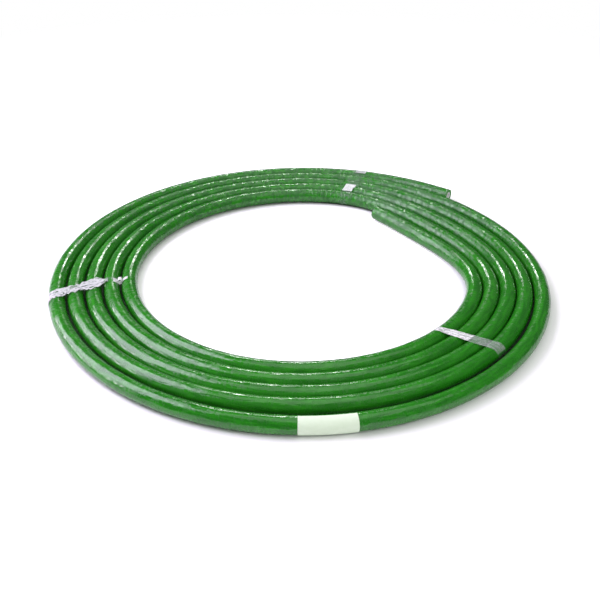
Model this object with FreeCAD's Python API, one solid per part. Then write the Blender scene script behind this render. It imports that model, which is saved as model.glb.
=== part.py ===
"""Coil of foam-insulated multilayer pipe, wound flat and held with adhesive tape.

Lengths are in millimetres and angles in degrees.  +Z is up and the coil lies on z = 0.
Bearings run clockwise seen from above: 0 is the back (+Y), 90 the right (+X), 180 the
front (-Y) and 270 the left (-X).  A bearing past 360 is on a later turn.  The origin is
under the middle of the finished coil.
"""
import math
import os

import FreeCAD
import Part

# Pipe and sleeve
PIPE_OD = 16.0
PIPE_WALL = 2.0
SLEEVE_OD = 28.0
SLEEVE_PLAY = 0.2

# Winding: one flat spiral from the inner end out to the outer end
INNER_END = 42.5
OUTER_END = 1839.2
FULL_RADIUS_AT = 1832.0
OUTER_RADIUS = 440.5
OVALITY = 7.5
TURN_PITCH = 28.45
END_STRAIGHT = 45.0
NODE_STEP = 22.5

# Where the turns lie loosely: (extra pitch, bearing of the middle, half the spread)
LOOSE_RIGHT = (8.2, 59.0, 48.0)
LOOSE_LEFT = (2.9, 268.0, 88.0)

# The last turn stands off from the others along the front
STAND_OFF = (11.5, 1612.0, 88.0)

# Tape ties, several layers of film thick.  Each binds neighbouring strands and is given
# by its width, then the bearing and turn of its inner strand and of its outer one.
TAPE_THICK = 0.4
TAPE_END_SLACK = 2.4
TIE_BACK = (28.0, 17.0, 2, 18.0, 6)
TIE_RIGHT = (24.0, 134.0, 1, 130.8, 4)
TIE_LEFT = (34.0, 260.5, 2, 256.0, 5)

# Sticker on the outermost strand
LABEL_THICK = 0.15
LABEL_GAP = 0.05
LABEL_FROM = 1609.8
LABEL_TO = 1621.0
LABEL_LOW = -60.0
LABEL_HIGH = 104.0

AXIS_Z = TAPE_THICK + SLEEVE_OD / 2
UP = FreeCAD.Vector(0, 0, 1)


def swell(shape, bearing):
    """Smooth rise and fall of a given size round one bearing."""
    size, middle, spread = shape
    away = abs(bearing - middle)
    if away >= spread:
        return 0.0
    return size * math.cos(math.radians(90 * away / spread)) ** 2


def radius(bearing):
    """Distance of the pipe's axis from the winding centre."""
    turns_left = (FULL_RADIUS_AT - bearing) / 360
    around = bearing % 360
    pitch = TURN_PITCH + swell(LOOSE_RIGHT, around) + swell(LOOSE_LEFT, around)
    outer = OUTER_RADIUS - OVALITY * math.cos(math.radians(2 * around))
    return outer - pitch * turns_left + swell(STAND_OFF, bearing)


def axis_point(bearing):
    """Point on the pipe's axis."""
    angle = math.radians(bearing)
    reach = radius(bearing)
    return FreeCAD.Vector(reach * math.sin(angle), reach * math.cos(angle), AXIS_Z)


def heading(bearing):
    """Unit tangent of the pipe's axis."""
    step = axis_point(bearing + 0.01) - axis_point(bearing - 0.01)
    return step.normalize()


def arc_from(start, tangent, end):
    """Circular edge leaving start along tangent and reaching end."""
    chord = end - start
    bend = math.atan2(tangent.x * chord.y - tangent.y * chord.x, tangent.dot(chord))
    side = FreeCAD.Vector(chord.y, -chord.x, 0)
    middle = start + chord * 0.5 + side * (0.5 * math.tan(bend / 2))
    return Part.Arc(start, middle, end).toShape()


def arc_pair(start, start_dir, end, end_dir):
    """Two arcs tangent to each other and to both given directions."""
    across = end - start
    both = start_dir + end_dir
    spread = 2 * (1 - start_dir.dot(end_dir))
    lean = across.dot(both)
    reach = (math.sqrt(lean * lean + spread * across.dot(across)) - lean) / spread
    joint = (start + end + (start_dir - end_dir) * reach) * 0.5
    joint_dir = (joint - start - start_dir * reach).normalize()
    return [arc_from(start, start_dir, joint), arc_from(joint, joint_dir, end)]


def axis_edges(first, last):
    """Tangent arcs following the winding between two bearings."""
    count = max(1, round((last - first) / NODE_STEP))
    nodes = [first + (last - first) * i / count for i in range(count + 1)]
    edges = []
    for here, there in zip(nodes, nodes[1:]):
        edges += arc_pair(axis_point(here), heading(here), axis_point(there), heading(there))
    return edges


def axis_wire():
    """Whole axis: a short straight at each cut end and arcs between them."""
    start = axis_point(INNER_END)
    end = axis_point(OUTER_END)
    lead_in = Part.makeLine(start - heading(INNER_END) * END_STRAIGHT, start)
    run_out = Part.makeLine(end, end + heading(OUTER_END) * END_STRAIGHT)
    return Part.Wire([lead_in] + axis_edges(INNER_END, OUTER_END) + [run_out])


def tube(wire, outer, inner):
    """Tube of two radii swept along a wire."""
    first = wire.Edges[0]
    start = first.valueAt(first.FirstParameter)
    direction = first.tangentAt(first.FirstParameter)
    rims = [Part.Wire(Part.makeCircle(size, start, direction)) for size in (outer, inner)]
    section = Part.makeFace(rims, "Part::FaceMakerBullseye")
    return wire.makePipe(section)


def tape_tie(width, near_bearing, near_turn, far_bearing, far_turn):
    """Band of tape round neighbouring strands, a little aslant."""
    near = axis_point(near_bearing + 360 * (near_turn - 1))
    far = axis_point(far_bearing + 360 * (far_turn - 1))
    out = (far - near).normalize()
    along = (heading(near_bearing) + heading(far_bearing)).normalize()
    bands = []
    for grow in (TAPE_THICK, 0.0):
        bands.append(stadium(near - out * TAPE_END_SLACK, far + out * TAPE_END_SLACK,
                             out, SLEEVE_OD / 2 + grow))
    section = Part.makeFace(bands, "Part::FaceMakerBullseye")
    section.translate(along * (-width / 2))
    return section.extrude(along * width)


def stadium(near, far, out, half):
    """Closed outline with two level runs and a half round at each end."""
    top = UP * half
    return Part.Wire([
        Part.makeLine(near + top, far + top),
        Part.Arc(far + top, far + out * half, far - top).toShape(),
        Part.makeLine(far - top, near - top),
        Part.Arc(near - top, near - out * half, near + top).toShape(),
    ])


def label():
    """Thin sticker wrapped over the outer side of the last turn."""
    wire = Part.Wire(axis_edges(LABEL_FROM, LABEL_TO))
    start = axis_point(LABEL_FROM)
    out = heading(LABEL_FROM).cross(UP) * -1
    inner = SLEEVE_OD / 2 + LABEL_GAP
    corners = []
    for size in (inner, inner + LABEL_THICK):
        arc = []
        for lift in (LABEL_LOW, (LABEL_LOW + LABEL_HIGH) / 2, LABEL_HIGH):
            angle = math.radians(lift)
            arc.append(start + (out * math.cos(angle) + UP * math.sin(angle)) * size)
        corners.append(arc)
    low, high = corners
    outline = Part.Wire([
        Part.Arc(*low).toShape(),
        Part.makeLine(low[2], high[2]),
        Part.Arc(high[2], high[1], high[0]).toShape(),
        Part.makeLine(high[0], low[0]),
    ])
    return wire.makePipe(Part.Face(outline))


def main():
    axis = axis_wire()
    sleeve_bore = PIPE_OD / 2 + SLEEVE_PLAY
    solids = {
        "multilayer_pipe": tube(axis, PIPE_OD / 2, PIPE_OD / 2 - PIPE_WALL),
        "insulation_sleeve": tube(axis, SLEEVE_OD / 2, sleeve_bore),
        "tape_tie_back": tape_tie(*TIE_BACK),
        "tape_tie_right": tape_tie(*TIE_RIGHT),
        "tape_tie_left": tape_tie(*TIE_LEFT),
        "label": label(),
    }
    box = Part.makeCompound(list(solids.values())).BoundBox
    centre = FreeCAD.Vector(-box.Center.x, -box.Center.y, 0)
    os.makedirs("parts", exist_ok=True)
    print("pipe length", round(axis.Length), "shift", centre)
    for node, solid in solids.items():
        solid.translate(centre)
        print(node, solid.ShapeType, solid.isValid(), round(solid.Volume), solid.BoundBox)
        solid.exportStep("parts/" + node + ".step")


main()
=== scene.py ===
# %% [markdown]
# # A coil of insulated pipe
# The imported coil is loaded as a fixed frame.  Every visible piece below is laid over it:
# the wrinkled film skin, the crumpled tape, the sticker and the cut pipe ends.  Lengths
# are metres, +Z is up, and bearings run clockwise seen from above, starting at the back.

# %% Load the frame
import math

import bmesh
import bpy
import numpy as np
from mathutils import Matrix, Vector, noise


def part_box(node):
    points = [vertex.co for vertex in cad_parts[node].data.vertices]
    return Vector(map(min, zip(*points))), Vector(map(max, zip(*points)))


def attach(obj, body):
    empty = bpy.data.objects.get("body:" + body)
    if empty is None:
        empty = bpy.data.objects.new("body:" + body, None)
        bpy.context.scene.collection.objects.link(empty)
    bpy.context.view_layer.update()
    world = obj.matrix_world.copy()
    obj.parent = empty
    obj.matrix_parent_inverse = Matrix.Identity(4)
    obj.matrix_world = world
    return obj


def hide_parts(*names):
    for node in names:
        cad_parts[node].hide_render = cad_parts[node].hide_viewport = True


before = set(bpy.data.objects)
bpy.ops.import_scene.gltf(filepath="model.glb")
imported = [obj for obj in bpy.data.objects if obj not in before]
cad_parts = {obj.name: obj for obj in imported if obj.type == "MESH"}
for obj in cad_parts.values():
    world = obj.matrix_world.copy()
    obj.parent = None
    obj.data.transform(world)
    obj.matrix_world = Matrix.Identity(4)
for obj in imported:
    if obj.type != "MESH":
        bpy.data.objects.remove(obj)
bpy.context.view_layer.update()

# %% [markdown]
# ## Camera
# The camera stands in front of the coil and looks down on it, so the ring shows as an
# ellipse.  It is set before anything else.

# %% Camera
VIEW_DISTANCE = 1.5
VIEW_ELEVATION = math.radians(30.94)
VIEW_DROP = math.radians(1.5)
VIEW_SIDE = 0.0026
VIEW_LENS = 49.2
AIM_BACK = -0.00935

camera_data = bpy.data.cameras.new("camera")
camera_data.lens = VIEW_LENS
camera_data.clip_start = 0.01
camera = bpy.data.objects.new("camera", camera_data)
bpy.context.scene.collection.objects.link(camera)
camera.location = (
    VIEW_SIDE,
    AIM_BACK - VIEW_DISTANCE * math.cos(VIEW_ELEVATION),
    VIEW_DISTANCE * math.sin(VIEW_ELEVATION),
)
camera.rotation_euler = (math.radians(90) - VIEW_ELEVATION - VIEW_DROP, 0, 0)
bpy.context.scene.camera = camera
print("camera at", camera.location)


# %% [markdown]
# ## Shader maths
# A wrapped socket lets shader maths be written as plain Python.  One method, `add`, makes
# every other node from its type, its settings and the values or links of its sockets.

# %% Wrapped sockets
class Wire:
    """A number socket that understands + and *."""

    def __init__(self, finish, socket):
        self.finish = finish
        self.socket = socket

    def math(self, operation, other):
        node = self.finish.add("ShaderNodeMath", {"operation": operation},
                               {0: self, 1: other})
        return Wire(self.finish, node.outputs[0])

    def __add__(self, other):
        return self.math("ADD", other)

    def __mul__(self, other):
        return self.math("MULTIPLY", other)


class Finish:
    """A node material that grows by one node at a time."""

    def __init__(self, name):
        self.material = bpy.data.materials.new(name)
        self.material.use_nodes = True
        self.tree = self.material.node_tree
        self.tree.nodes.clear()
        self.output = self.add("ShaderNodeOutputMaterial")

    def add(self, kind, settings=None, inputs=None):
        node = self.tree.nodes.new(kind)
        for key, value in (settings or {}).items():
            setattr(node, key, value)
        for key, value in (inputs or {}).items():
            socket = node.inputs[key]
            if isinstance(value, Wire):
                self.tree.links.new(value.socket, socket)
            elif isinstance(value, bpy.types.NodeSocket):
                self.tree.links.new(value, socket)
            else:
                socket.default_value = value
        return node

    def wire(self, node, output=0):
        return Wire(self, node.outputs[output])

    def noise(self, place, scale, detail=2.0, roughness=0.5, distortion=0.0):
        node = self.add("ShaderNodeTexNoise", None, {
            "Vector": place, "Scale": scale, "Detail": detail,
            "Roughness": roughness, "Distortion": distortion})
        return self.wire(node)

    def object_place(self):
        return self.add("ShaderNodeTexCoord").outputs["Object"]

    def map_place(self):
        return self.add("ShaderNodeUVMap", {"uv_map": "UVMap"}).outputs[0]

    def stretched(self, place, scale):
        node = self.add("ShaderNodeMapping", None, {"Vector": place, "Scale": scale})
        return node.outputs[0]

    def mix(self, amount, first, second):
        node = self.add("ShaderNodeMix", {"data_type": "RGBA"},
                        {"Factor": amount, 6: first, 7: second})
        return node.outputs[2]

    def ramp(self, amount, low, high):
        node = self.add("ShaderNodeMapRange", {"interpolation_type": "SMOOTHSTEP"},
                        {"Value": amount, "From Min": low, "From Max": high})
        return self.wire(node)

    def bump(self, height, strength, distance, normal=None):
        inputs = {"Height": height, "Strength": strength, "Distance": distance}
        if normal is not None:
            inputs["Normal"] = normal
        return self.add("ShaderNodeBump", None, inputs).outputs[0]

    def end(self, shader):
        self.tree.links.new(shader.outputs[0], self.output.inputs[0])
        return self.material


def linear(red, green, blue):
    """A screen colour, 0 to 255, as the linear colour that a shader takes."""
    return tuple(((c / 255 + 0.055) / 1.055) ** 2.4 for c in (red, green, blue)) + (1.0,)


def new_piece(name, bm):
    """Object at the origin, made from a bmesh."""
    mesh = bpy.data.meshes.new(name)
    bm.to_mesh(mesh)
    bm.free()
    piece = bpy.data.objects.new(name, mesh)
    bpy.context.scene.collection.objects.link(piece)
    return piece


def dress_node(name, material):
    """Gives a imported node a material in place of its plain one."""
    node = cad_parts[name]
    node.data.materials.clear()
    node.data.materials.append(material)


print("shader helpers ready")

# %% [markdown]
# ## The winding
# The skin has to follow the same spiral as the solid sleeve, but with far more detail than
# its mesh has.  The spiral is a radius that shrinks by one pitch each turn inward, so it is
# worked out again here.

# %% Spiral of the pipe's axis
SLEEVE_RADIUS = 0.014
INNER_END = 42.5
OUTER_END = 1839.2
FULL_RADIUS_AT = 1832.0
OUTER_RADIUS = 0.4405
OVALITY = 0.0075
TURN_PITCH = 0.02845
END_STRAIGHT = 0.045
LOOSE_RIGHT = (0.0082, 59.0, 48.0)
LOOSE_LEFT = (0.0029, 268.0, 88.0)
STAND_OFF = (0.0115, 1612.0, 88.0)

sleeve_low, sleeve_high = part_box("insulation_sleeve")
AXIS_Z = (sleeve_low.z + sleeve_high.z) / 2


def swell(shape, bearing):
    """Smooth rise and fall of a given size round one bearing."""
    size, middle, spread = shape
    away = np.minimum(np.abs(bearing - middle) / spread, 1.0)
    return size * np.cos(math.pi / 2 * away) ** 2


def radius(bearing):
    """Distance of the pipe's axis from the winding centre."""
    turns_left = (FULL_RADIUS_AT - bearing) / 360
    around = bearing % 360
    pitch = TURN_PITCH + swell(LOOSE_RIGHT, around) + swell(LOOSE_LEFT, around)
    outer = OUTER_RADIUS - OVALITY * np.cos(np.radians(2 * around))
    return outer - pitch * turns_left + swell(STAND_OFF, bearing)


def axis_at(bearing):
    """Points of the pipe's axis, round the winding centre."""
    angle = np.radians(bearing)
    reach = radius(bearing)
    return np.stack([reach * np.sin(angle), reach * np.cos(angle)], axis=-1)


# %% [markdown]
# A short straight is added at each cut end.  Everything is then placed by its distance
# along the pipe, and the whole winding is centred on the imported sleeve.

# %% Straight ends, even spacing and centring
BEARING_STEP = 0.25
STUB_POINTS = 12
HEADING_STEP = 0.002
OUTLINE_POINTS = 20000
bearings = np.arange(INNER_END, OUTER_END + BEARING_STEP / 2, BEARING_STEP)
curve = axis_at(bearings)


def stub(end, inside):
    """Points of the straight piece beyond one end of the spiral."""
    outward = (end - inside) / np.linalg.norm(end - inside)
    reach = np.linspace(END_STRAIGHT, END_STRAIGHT / STUB_POINTS, STUB_POINTS)
    return end + reach[:, None] * outward


line = np.concatenate([stub(curve[0], curve[1]), curve, stub(curve[-1], curve[-2])[::-1]])
steps = np.linalg.norm(np.diff(line, axis=0), axis=1)
along = np.concatenate([[0.0], np.cumsum(steps)])
PIPE_LENGTH = along[-1]


def on_axis(distance):
    """Axis points at distances along the pipe, in the row frame."""
    return np.stack([np.interp(distance, along, line[:, i]) for i in range(2)], axis=-1)


def place(distance):
    """Axis points and unit headings at distances along the pipe."""
    heading = on_axis(distance + HEADING_STEP) - on_axis(distance - HEADING_STEP)
    heading /= np.linalg.norm(heading, axis=-1, keepdims=True)
    return on_axis(distance), heading


spots, headings = place(np.linspace(0, PIPE_LENGTH, OUTLINE_POINTS))
sides = np.stack([-headings[:, 1], headings[:, 0]], axis=-1) * SLEEVE_RADIUS
edges = np.concatenate([spots + sides, spots - sides])
middle = (edges.min(0) + edges.max(0)) / 2
packed = np.array([(sleeve_low.x + sleeve_high.x) / 2, (sleeve_low.y + sleeve_high.y) / 2])
WINDING_CENTRE = packed - middle
line += WINDING_CENTRE
print("pipe length", round(PIPE_LENGTH, 3), "winding centre", WINDING_CENTRE)

# %% [markdown]
# ## Green film skin
# The real sleeve is soft foam in a thin glossy film.  Bent into a coil, the film buckles:
# short cross wrinkles on the inside of each bend, long shallow creases elsewhere.  A flat
# strip is made as a grid, rolled round the axis and welded along its seam underneath, which
# gives the film a clean map of length and girth.

# %% Roll a strip round the pipe
RINGS = 2880
GIRTH_STEPS = 30
LAZY_DEPTH = 0.00012
CREASE_DEPTH = 0.00022
BUCKLE_DEPTH = 0.00030
SKIN_INSET = 0.0001
HIGHEST_FOLD = 0.0002
SEAM_WELD = 1e-6


def strip(name, columns, rows):
    """Flat grid, 0 to 1 each way, with its map, as an object and its grid places."""
    bm = bmesh.new()
    bm.loops.layers.uv.new("UVMap")
    bmesh.ops.create_grid(bm, x_segments=columns, y_segments=rows, size=0.5, calc_uvs=True)
    bmesh.ops.translate(bm, verts=bm.verts, vec=(0.5, 0.5, 0))
    piece = new_piece(name, bm)
    spots = np.zeros(len(piece.data.vertices) * 3)
    piece.data.vertices.foreach_get("co", spots)
    return piece, spots.reshape(-1, 3)


def reshape(piece, spots, weld=None):
    """Moves a piece's vertices, welds its seam and points its faces outwards."""
    piece.data.vertices.foreach_set("co", spots.ravel())
    bm = bmesh.new()
    bm.from_mesh(piece.data)
    if weld:
        bmesh.ops.remove_doubles(bm, verts=bm.verts, dist=weld)
        bmesh.ops.recalc_face_normals(bm, faces=bm.faces)
    for face in bm.faces:
        face.smooth = True
    bm.to_mesh(piece.data)
    bm.free()
    piece.data.update()


def wrinkle(distance, angle):
    """Depth of the film's folds, in metres, at a distance along and an angle round."""
    folds = []
    for s, a in zip(distance, angle):
        round_x, round_y = math.cos(a), math.sin(a)
        inner = max(0.0, -round_x)
        lazy = noise.noise(Vector((s * 9, round_x * 0.8, round_y * 0.8)))
        crease = noise.noise(Vector((s * 26, round_x * 2.6, round_y * 2.6 + 7)))
        buckle = noise.noise(Vector((s * 95, round_x * 0.9 + 3, round_y * 0.9)))
        folds.append(LAZY_DEPTH * lazy + CREASE_DEPTH * crease + BUCKLE_DEPTH * inner * buckle)
    return np.array(folds)


skin, flat = strip("film_skin", RINGS, GIRTH_STEPS)
distance = flat[:, 0] * PIPE_LENGTH
angle = (flat[:, 1] * 2 - 0.5) * math.pi
spot, heading = place(distance)
outward = np.stack([-heading[:, 1], heading[:, 0]], axis=-1)
fold_depth = np.minimum(wrinkle(distance, angle), HIGHEST_FOLD)
depth = SLEEVE_RADIUS - SKIN_INSET + fold_depth
shell = np.stack([
    spot[:, 0] + outward[:, 0] * np.cos(angle) * depth,
    spot[:, 1] + outward[:, 1] * np.cos(angle) * depth,
    AXIS_Z + np.sin(angle) * depth,
], axis=-1)
reshape(skin, shell, weld=SEAM_WELD)
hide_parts("insulation_sleeve")
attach(skin, "root")
print("skin faces", len(skin.data.polygons))

# %% [markdown]
# ## Film material
# The film is a thin glossy green skin.  Its colour drifts a little along the pipe, and painted
# shade darkens it in the crease valleys.  Crinkled patches are rougher, which breaks up its
# shine, and carry painted shade too, most of all toward the back of the coil.  Two bumps
# follow the map of length and girth: long creases with a soft quilting, and fine cross
# wrinkles, because one scale alone looks like noise.

# %% Green film
# The darkest green is painted shade, laid into the crease valleys and the crinkles.
GREEN_PAINTED_SHADE = linear(8, 80, 8)
GREEN_MAIN = linear(28, 124, 16)
GREEN_PALE = linear(52, 138, 32)

film = Finish("green_film")
film_map = film.map_place()
girth = film.stretched(film_map, (PIPE_LENGTH, 1.0, 1.0))
cross_wrinkle = film.noise(film.stretched(girth, (150, 7, 1)), 1.0, 2, 0.6, 0.8)
crease = film.noise(film.stretched(girth, (20, 12, 1)), 1.0, 2, 0.5, 1.2)
quilt = film.noise(film.stretched(girth, (60, 8, 1)), 1.0, 2, 0.5, 0.3)
patchy = film.ramp(film.noise(film.stretched(girth, (7, 2.0, 1)), 1.0, 2), 0.35, 0.7)
drift = film.noise(film.stretched(girth, (2.2, 1.0, 1)), 1.0, 2)
# Painted shade: low crease valleys mix toward the darkest green.
crease_shade = film.ramp(crease, 0.25, 0.75)
tone = film.mix(drift, GREEN_MAIN, GREEN_PALE)
tone = film.mix(crease_shade * 0.6 + 0.3, GREEN_PAINTED_SHADE, tone)
front_to_back = film.wire(film.add("ShaderNodeSeparateXYZ", None,
                                   {0: film.object_place()}), 1)
buckled = film.ramp(front_to_back, -0.05, 0.25)
dull_and_shade = film.ramp(cross_wrinkle * 0.65 + quilt * 0.35, 0.47, 0.53) * (buckled * 0.45 + 0.45)
# The crinkle mask darkens the colour as painted shade, more toward the back; in the roughness
# it is the crinkles' real dullness.
tone = film.mix(dull_and_shade * (buckled * 0.35 + 0.4), tone, GREEN_PAINTED_SHADE)
slow_normal = film.bump(crease + quilt * 0.3, 1.0, 0.0006)
ripple = cross_wrinkle * (patchy * 0.5 + 0.5) * (buckled * 0.9 + 0.1)
film_normal = film.bump(ripple, 1.0, 0.002, slow_normal)
film_shader = film.add("ShaderNodeBsdfPrincipled", None, {
    "Base Color": tone, "Roughness": dull_and_shade * 0.45 + 0.09,
    "Normal": film_normal, "Specular IOR Level": 0.6})
skin.data.materials.append(film.end(film_shader))
print("film nodes", len(film.tree.nodes))

# %% [markdown]
# ## Cut ends
# Both ends are sawn square.  The foam shows as a pale green ring round the white pipe, and
# the pipe's own wall shows a fine bright line of aluminium between its plastic layers.
# Each ring is two bmesh circles bridged together.

# %% Rings on a cut end
PIPE_OUTER = 0.008
PIPE_INNER = 0.006
FOIL_OUTER = 0.00715
FOIL_INNER = 0.00685
SLEEVE_PLAY = 0.0002
PROUD = 0.00004
RING_SIDES = 48


def end_ring(bm, distance, outer, inner, forward):
    """Flat ring across the pipe at one cut end, facing away from it."""
    spot, heading = place(np.array([distance]))
    face = Vector((*heading[0], 0)) * forward
    turn = face.to_track_quat("Z", "Y").to_matrix().to_4x4()
    turn.translation = Vector((*spot[0], AXIS_Z)) + face * PROUD
    rims = []
    for size in (outer, inner):
        made = bmesh.ops.create_circle(bm, segments=RING_SIDES, radius=size, matrix=turn)
        rims += made["verts"]
    loops = list({edge for vert in rims for edge in vert.link_edges})
    bmesh.ops.bridge_loops(bm, edges=loops)


def ring_piece(name, outer, inner):
    """The same ring on both cut ends, as one piece."""
    bm = bmesh.new()
    end_ring(bm, 0.0, outer, inner, -1)
    end_ring(bm, PIPE_LENGTH, outer, inner, 1)
    piece = new_piece(name, bm)
    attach(piece, "root")
    return piece


foam_ends = ring_piece("foam_cut_ends", SLEEVE_RADIUS - SKIN_INSET,
                       PIPE_OUTER + SLEEVE_PLAY)
foil_ends = ring_piece("foil_cut_lines", FOIL_OUTER, FOIL_INNER)

foam = Finish("cut_foam")
foam_place = foam.object_place()
cells = foam.noise(foam_place, 1400, 2)
foam_tone = foam.mix(cells, linear(44, 118, 46), linear(92, 156, 84))
foam_shader = foam.add("ShaderNodeBsdfPrincipled", None, {
    "Base Color": foam_tone, "Roughness": 0.85,
    "Normal": foam.bump(cells, 0.6, 0.0006)})
foam_ends.data.materials.append(foam.end(foam_shader))

foil = Finish("cut_foil")
foil_place = foil.object_place()
foil_wear = foil.noise(foil_place, 700, 2)
foil_shader = foil.add("ShaderNodeBsdfPrincipled", None, {
    "Base Color": linear(205, 208, 212), "Metallic": 1.0,
    "Roughness": foil_wear * 0.2 + 0.25})
foil_ends.data.materials.append(foil.end(foil_shader))

plastic = Finish("white_pipe")
plastic_place = plastic.object_place()
plastic_grain = plastic.noise(plastic_place, 500, 2)
plastic_shader = plastic.add("ShaderNodeBsdfPrincipled", None, {
    "Base Color": plastic.mix(plastic_grain, linear(226, 228, 226),
                              linear(240, 241, 238)),
    "Roughness": plastic_grain * 0.1 + 0.38})
dress_node("multilayer_pipe", plastic.end(plastic_shader))
print("cut ends dressed")

# %% [markdown]
# ## Tape ties
# Clear packing tape is wound round a few strands, pulled tight from crest to crest and
# crumpled where it was twisted.  A strip is bent into the band's closed section, then its
# free top is rumpled and its edges are pulled in unevenly.

# %% Bend a strip round the strands
TAPE_SKIN = 0.0002
TAPE_COLUMNS = 260
TAPE_ROWS = 22
TAPE_STAND_OFF = 0.0008
TAPE_WELD = 1e-5


def strand_spot(bearing):
    """Axis point of the winding at one bearing, in the row frame."""
    return axis_at(np.array([bearing]))[0] + WINDING_CENTRE


def band_section(run, span, half):
    """Reach from the inner strand and lift, at distances round the band's closed section.

    It runs in over the crests, round the inner strand, out underneath and up again.
    """
    arc = math.pi * half
    reach = np.zeros(len(run))
    lift = np.zeros(len(run))
    top = run < span
    inner = (run >= span) & (run < span + arc)
    low = (run >= span + arc) & (run < 2 * span + arc)
    outer = run >= 2 * span + arc
    reach[top] = span - run[top]
    lift[top] = half
    turn = math.pi * (run[inner] - span) / arc
    reach[inner] = -np.sin(turn) * (half + TAPE_STAND_OFF)
    lift[inner] = np.cos(turn) * half
    reach[low] = run[low] - span - arc
    lift[low] = -half
    turn = math.pi * (run[outer] - 2 * span - arc) / arc
    reach[outer] = span + np.sin(turn) * (half + TAPE_STAND_OFF)
    lift[outer] = -np.cos(turn) * half
    return reach, lift


def tape_band(name, node, width, near_bearing, far_bearing, crumple, pinch, narrow, seed):
    """Closed band of tape from an inner strand to an outer one, replacing a CAD node."""
    piece, flat = strip(name, TAPE_COLUMNS, TAPE_ROWS)
    near, far = strand_spot(near_bearing), strand_spot(far_bearing)
    span = np.linalg.norm(far - near)
    out = (far - near) / span
    tangent = np.stack([axis_at(np.array([b + 0.1]))[0] - axis_at(np.array([b - 0.1]))[0]
                        for b in (near_bearing, far_bearing)]).sum(0)
    tangent /= np.linalg.norm(tangent)
    half = SLEEVE_RADIUS + TAPE_SKIN
    run = flat[:, 0] * (2 * span + 2 * math.pi * half)
    reach, lift = band_section(run, span, half)
    across = flat[:, 1] - 0.5
    for i in range(len(run)):
        spot = Vector((run[i] * 120, across[i] * 2.2, seed))
        ragged = noise.noise(Vector((run[i] * 60, seed * 3, 0))) \
            + 0.6 * noise.noise(Vector((run[i] * 190, seed * 3, across[i] * 3)))
        inward = 1 - min(max(reach[i] / span, 0.0), 1.0)
        across[i] *= 1 - pinch * (0.5 + 0.9 * ragged) - narrow * inward ** 1.5
        rise = abs(noise.noise(spot)) + 0.5 * abs(noise.noise(spot * 2.7))
        free = max(0.0, lift[i] / half) ** 2
        lift[i] += crumple * rise * free
        reach[i] += 0.3 * crumple * noise.noise(spot * 1.7) * free
    shell = np.stack([
        near[0] + out[0] * reach + tangent[0] * across * width,
        near[1] + out[1] * reach + tangent[1] * across * width,
        AXIS_Z + lift,
    ], axis=-1)
    reshape(piece, shell, weld=TAPE_WELD)
    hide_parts(node)
    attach(piece, "root")
    return piece


tie_left = tape_band("tape_left", "tape_tie_left", 0.034, 620.5, 1696.0,
                     0.0009, 0.55, 0.1, 3.1)
tie_right = tape_band("tape_right", "tape_tie_right", 0.024, 134.0, 1210.8,
                      0.0006, 0.1, 0.4, 8.7)
tie_back = tape_band("tape_back", "tape_tie_back", 0.028, 377.0, 1818.0,
                     0.0005, 0.2, 0.2, 5.3)
print("tape faces", [len(t.data.polygons) for t in (tie_left, tie_right, tie_back)])

# %% [markdown]
# A loose end of tape lies beside the left tie.  It leaves one strand, makes one loop in the
# valley and climbs the next strand, growing narrower on the way.

# %% Loose curl of tape beside the left tie
CURL_BEARING = 260.0
CURL_WIDTH = 0.013
CURL_RADIUS = 0.0042
CURL_TAPER = 0.4
CURL_DRIFT = 0.004
CURL_CLEARANCE = 0.00025
CURL_FROM = math.radians(72)
CURL_TO = math.radians(98)


def curl(name, inner_bearing):
    """Strip that leaves one strand, loops once in the valley and climbs the next strand."""
    piece, flat = strip(name, 96, 6)
    from_spot, to_spot = strand_spot(inner_bearing + 360), strand_spot(inner_bearing)
    span = np.linalg.norm(to_spot - from_spot)
    over = (to_spot - from_spot) / span
    skin_reach = SLEEVE_RADIUS + CURL_CLEARANCE
    rise = math.sqrt((skin_reach + CURL_RADIUS) ** 2 - (span / 2) ** 2)
    touch = math.atan2(rise, span / 2)
    turns = (
        (0.0, 0.0, skin_reach, CURL_FROM, touch),
        (span / 2, rise, CURL_RADIUS, touch - math.pi, 2 * math.pi - touch),
        (span, 0.0, skin_reach, math.pi - touch, CURL_TO),
    )
    path = np.concatenate([
        [(u + size * math.cos(a), w + size * math.sin(a)) for a in np.linspace(a0, a1, 60)]
        for u, w, size, a0, a1 in turns])
    cells = np.linspace(0, 1, len(path))
    u = np.interp(flat[:, 0], cells, path[:, 0])
    w = np.interp(flat[:, 0], cells, path[:, 1])
    slip = (flat[:, 1] - 0.5) * CURL_WIDTH * (1 - CURL_TAPER * flat[:, 0])
    slip += CURL_DRIFT * flat[:, 0]
    shell = np.stack([from_spot[0] + over[0] * u - over[1] * slip,
                      from_spot[1] + over[1] * u + over[0] * slip, AXIS_Z + w], axis=-1)
    reshape(piece, shell)
    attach(piece, "root")
    return piece


tape_curl = curl("tape_curl", CURL_BEARING)
print("curl", tape_curl.dimensions)

# %% [markdown]
# The same tape looks clear where it is smooth and white where it is bunched.  Each finish
# says how clear and how white it gets, and the patches say where along the band it shows.
# On the back band the middle patch, nearly solid white, is a painted highlight.

# %% Clear tape, from smooth and clear to bunched and white
PATCH_EDGE = 0.004


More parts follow.
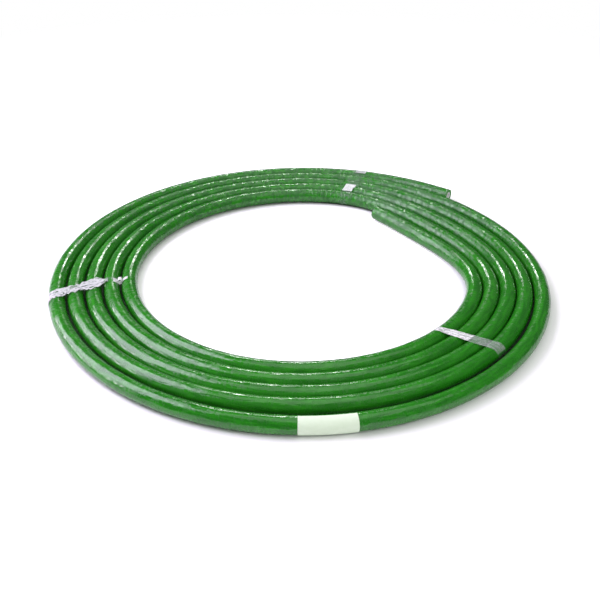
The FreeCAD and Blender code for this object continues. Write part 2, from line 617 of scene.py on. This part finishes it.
def tape_finish(name, clearest, whitest, white_from, white_to, fold_and_glint_tone, solid=0.0,
                patches=()):
    """Tape film whose bunched folds turn from see-through to white; a patch can also hold a
    painted highlight.
    """
    tape = Finish(name)
    tape_map = tape.map_place()
    rumple = tape.noise(tape.stretched(tape_map, (60, 5, 1)), 1.0, 4, 0.6, 0.8)
    slits = tape.noise(tape.stretched(tape_map, (14, 9, 1)), 1.0, 2, 0.5, 1.0)
    white = tape.ramp(rumple * 0.4 + slits * 0.6, white_from, white_to)
    if patches:
        run = tape.wire(tape.add("ShaderNodeSeparateXYZ", None, {0: tape_map}))
        shown = 0.0
        for low, high, strength in patches:
            begins = tape.ramp(run, low - PATCH_EDGE, low + PATCH_EDGE)
            ends = tape.ramp(run, high + PATCH_EDGE, high - PATCH_EDGE)
            shown = begins * ends * strength + shown
        white = (white * (1 - solid) + solid) * shown
    shader = tape.add("ShaderNodeBsdfPrincipled", None, {
        "Base Color": tape.mix(white, linear(150, 160, 156), fold_and_glint_tone),
        "Roughness": 0.2, "Normal": tape.bump(rumple, 0.9, 0.0012),
        "Alpha": white * (whitest - clearest) + clearest,
        "Specular IOR Level": 0.6})
    return tape.end(shader)


tape_curl.data.materials.append(
    tape_finish("curled_tape", 0.75, 1.0, 0.3, 0.5, linear(222, 226, 222)))
tie_left.data.materials.append(
    tape_finish("bunched_tape", 0.1, 0.96, 0.38, 0.5, linear(192, 196, 194), 0.1,
                ((-0.01, 0.325, 1.0), (0.92, 1.01, 1.0))))
tie_right.data.materials.append(
    tape_finish("flat_tape", 0.08, 0.97, 0.4, 0.55, linear(226, 228, 226), 0.5,
                ((-0.01, 0.14, 0.42), (0.14, 0.36, 1.0), (0.94, 1.01, 0.42))))
# The back band's middle patch is a painted highlight: nearly solid white where the tape
# catches the lamp.
tie_back.data.materials.append(
    tape_finish("clear_tape", 0.08, 0.92, 0.45, 0.6, linear(232, 238, 232), 0.85,
                ((-0.01, 0.035, 0.75), (0.235, 0.345, 1.0), (0.97, 1.01, 0.75))))
print("tape finishes", [t.data.materials[0].name for t in (tie_left, tie_right, tie_back)])

# %% [markdown]
# ## Sticker
# The sticker is a smooth pale patch on the outermost strand.  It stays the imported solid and
# gets only a finish: satin paper with a faint unevenness.

# %% Sticker finish
paper = Finish("pale_sticker")
paper_place = paper.object_place()
paper_grain = paper.noise(paper_place, 160, 3)
paper_shader = paper.add("ShaderNodeBsdfPrincipled", None, {
    "Base Color": paper.mix(paper_grain, linear(200, 218, 190),
                            linear(212, 227, 203)),
    "Roughness": paper_grain * 0.15 + 0.35,
    "Normal": paper.bump(paper.noise(paper_place, 45, 2), 0.25, 0.001)})
dress_node("label", paper.end(paper_shader))
print("sticker dressed")

# %% [markdown]
# ## Floor and light
# The floor is a plain pale sheet that keeps the coil's soft shadow.  Under the coil it carries
# a ring of painted shade, dark green-grey, so the gaps between strands don't glare, and it is
# white far out.

# %% Floor
FLOOR_HALF = 30
FLOOR_DROP = 0.0005
# Each pair of radii is where the floor's change begins and where it is complete
CLEAR_OUTSIDE = (0.43, 0.52)
CLEAR_INSIDE = (0.31, 0.25)
PALE_OUTSIDE = (0.425, 0.44)
PALE_INSIDE = (0.32, 0.30)
WHITE_OUTSIDE = (0.7, 2.0)

floor_bm = bmesh.new()
bmesh.ops.create_grid(floor_bm, x_segments=1, y_segments=1, size=FLOOR_HALF)
floor = new_piece("floor", floor_bm)
floor.location.z = -FLOOR_DROP

ground = Finish("pale_floor")
ground_place = ground.object_place()
reach = ground.wire(ground.add("ShaderNodeVectorMath", {"operation": "LENGTH"},
                               {0: ground_place}), 1)
seen = ground.wire(ground.add("ShaderNodeLightPath"), "Is Camera Ray")
clear_floor = ground.ramp(reach, *CLEAR_OUTSIDE) + ground.ramp(reach, *CLEAR_INSIDE)
lit = seen * clear_floor
bare_floor = ground.ramp(reach, *PALE_OUTSIDE) + ground.ramp(reach, *PALE_INSIDE)
# Painted shade: the floor under the coil is dark green-grey, seen only through the gaps
# between strands.
shade = ground.mix(bare_floor, (0.10, 0.16, 0.10, 1), (0.85, 0.85, 0.85, 1))
matte = ground.add("ShaderNodeBsdfDiffuse", None, {"Color": shade})
glow = ground.add("ShaderNodeEmission", None, {"Color": (1, 1, 1, 1), "Strength": 0.5})
both = ground.add("ShaderNodeAddShader", None, {0: matte.outputs[0], 1: glow.outputs[0]})
near_floor = ground.add("ShaderNodeMixShader", None,
                        {0: lit, 1: matte.outputs[0], 2: both.outputs[0]})
blank = ground.add("ShaderNodeEmission", None, {"Color": (1, 1, 1, 1), "Strength": 1.0})
distant = seen * ground.ramp(reach, *WHITE_OUTSIDE)
whole_floor = ground.add("ShaderNodeMixShader", None,
                         {0: distant, 1: near_floor.outputs[0], 2: blank.outputs[0]})
floor.data.materials.append(ground.end(whole_floor))
print("floor nodes", len(ground.tree.nodes))

# %% [markdown]
# A broad soft lamp at the left lays silvery streaks on the film, and a low strip beside it
# lengthens them.  A small strip behind draws the thin bright lines along the crests.  A top
# and a front lamp fill in the colour, and the front one leaves no reflection on the film.
# The world is dim as a light but white where the camera sees it.

# %% World and lamps
WORLD_LEVEL = 0.13

world = bpy.data.worlds.new("studio")
bpy.context.scene.world = world
world.use_nodes = True
sky = world.node_tree
pale = sky.nodes["Background"]
pale.inputs[0].default_value = (1, 1, 1, 1)
pale.inputs[1].default_value = WORLD_LEVEL
backdrop = sky.nodes.new("ShaderNodeBackground")
backdrop.inputs[0].default_value = (1, 1, 1, 1)
shown = sky.nodes.new("ShaderNodeMixShader")
sky.links.new(sky.nodes.new("ShaderNodeLightPath").outputs["Is Camera Ray"], shown.inputs[0])
sky.links.new(pale.outputs[0], shown.inputs[1])
sky.links.new(backdrop.outputs[0], shown.inputs[2])
sky.links.new(shown.outputs[0], sky.nodes["World Output"].inputs[0])


def lamp(name, spot, aim, width, depth, power, color=(1, 1, 1)):
    """Rectangular soft lamp at a spot, facing an aim point."""
    data = bpy.data.lights.new(name, "AREA")
    data.shape = "RECTANGLE"
    data.size, data.size_y = width, depth
    data.energy = power
    data.color = color
    lamp_object = bpy.data.objects.new(name, data)
    bpy.context.scene.collection.objects.link(lamp_object)
    lamp_object.location = spot
    facing = Vector(aim) - Vector(spot)
    lamp_object.rotation_euler = facing.to_track_quat("-Z", "Y").to_euler()
    return lamp_object


lamp("left_softbox", (-1.8, 0.3, 1.8), (0, 0, 0), 2.3, 2.0, 90, (0.95, 0.83, 1.08))
lamp("left_strip", (-2.2, 0.1, 0.65), (0, 0, 0), 2.0, 0.22, 17, (1.0, 0.88, 1.05))
lamp("back_strip", (-0.1, 2.2, 1.5), (0, 0, 0), 0.6, 0.2, 12)
lamp("top_fill", (0.3, -0.2, 2.6), (0, 0, 0), 2.5, 2.5, 24)
front_fill = lamp("front_fill", (1.0, -1.7, 1.3), (0, -0.1, 0), 2.0, 1.6, 27)
front_fill.visible_glossy = False

bpy.context.scene.view_settings.view_transform = "Standard"
print("world and lamps set")
